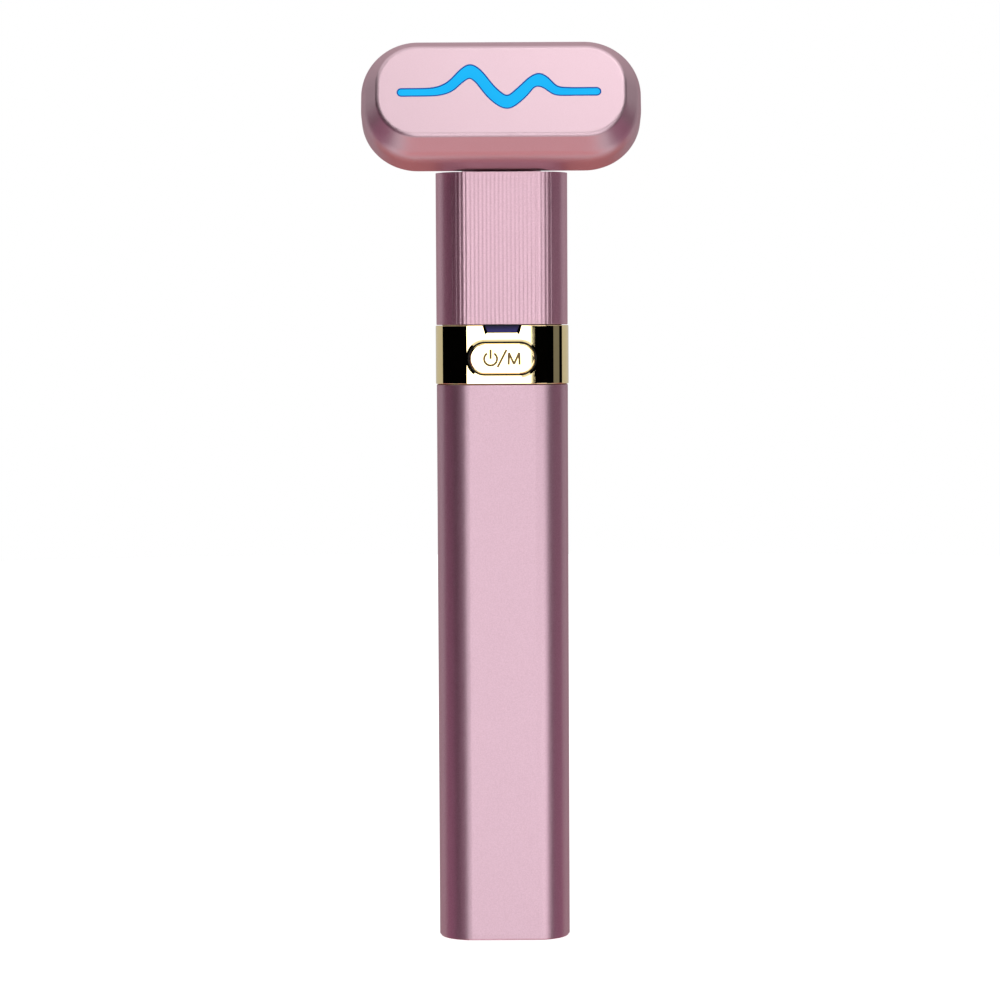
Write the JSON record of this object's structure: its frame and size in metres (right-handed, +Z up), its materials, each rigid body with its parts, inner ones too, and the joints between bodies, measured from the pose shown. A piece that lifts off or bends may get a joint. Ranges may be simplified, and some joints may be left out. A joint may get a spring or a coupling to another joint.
{
  "type": "eye massage wand",
  "caption": "Slim eye massage wand: rounded rectangular handle, gold band with a push button, fluted neck and a tilted swivelling head with a wave-shaped light window.",
  "frame": {"origin": "middle of the handle's foot, on the plane it stands on, in the mouth of the charging socket", "axes": "+Z up the handle, -Y the front with the button and the light window, +X to the right seen from the front"},
  "size_m": [0.0502, 0.0221, 0.1629],
  "materials": {
    "rose_alloy": "fine blasted, rose anodised, satin",
    "rose_plastic": "rose pearl paint, satin",
    "gold_plate": "mirror polished pale gold plating",
    "smoked_lens": "smoked indigo, glossy",
    "blue_window": "translucent blue, lit from behind",
    "clear_guide": "clear acrylic",
    "black_plastic": "moulded, matte",
    "white_nylon": "moulded nylon",
    "green_board": "solder mask over glass epoxy",
    "steel": "bright",
    "dense_weight": "sintered",
    "plate_alloy": "rose anodised",
    "cell_foil": "laminated foil pouch",
    "foam": "closed cell foam",
    "silicone": "silicone",
    "wire_sleeve": "flexible insulation",
    "led_package": "clear resin over a white frame",
    "film": "amber polyimide"
  },
  "bodies": {
    "handle": {"handle_tube": "rose_alloy", "neck_sleeve": "rose_alloy", "end_cap": "rose_plastic", "gold_band": "gold_plate", "indicator_lens": "smoked_lens", "inner_frame": "black_plastic", "switch_body": "black_plastic", "usb_tongue": "black_plastic", "board_components": "black_plastic", "swivel_washer": "white_nylon", "charge_board": "green_board", "main_board": "green_board", "battery_board": "green_board", "usb_socket": "steel", "board_screws": "steel", "spring_washer": "steel", "neck_top_plate": "plate_alloy", "battery_cell": "cell_foil", "battery_pad": "foam", "battery_leads": "wire_sleeve", "charge_leads": "wire_sleeve", "head_cable": "wire_sleeve", "indicator_led": "led_package"},
    "button": {"power_button": "gold_plate", "button_carrier": "black_plastic"},
    "plunger": {"switch_plunger": "white_nylon"},
    "head": {"swivel_tube": "steel", "retaining_clip": "steel", "stop_pin": "steel", "head_front_cover": "rose_alloy", "light_window": "blue_window", "light_guide": "clear_guide", "heating_film": "film", "led_board": "green_board", "head_leds": "led_package", "board_connector": "white_nylon", "head_seal": "silicone", "head_back_cover": "rose_plastic", "motor_body": "steel", "motor_cradle": "silicone"},
    "rotor": {"motor_shaft": "steel", "eccentric_weight": "dense_weight"}
  },
  "joints": [
    {"name": "button_press", "type": "slide", "parent": "handle", "child": "button", "axis": [0, 1, 0], "range_m": [0, 0.0004], "stiffness_N_per_m": 500},
    {"name": "plunger_press", "type": "slide", "parent": "handle", "child": "plunger", "axis": [0, 1, 0], "range_m": [0, 0.0004]},
    {"name": "head_swivel", "type": "hinge", "parent": "handle", "child": "head", "pos_m": [0, 0, 0.13955], "axis": [0, 0, 1], "range_deg": [-90, 90]},
    {"name": "motor_spin", "type": "hinge", "parent": "head", "child": "rotor", "pos_m": [0, -0.00021, 0.15397], "axis": [1, 0, 0], "continuous": true}
  ],
  "couplings": [
    {"joint": "plunger_press", "follows": "button_press", "ratio": 1}
  ]
}
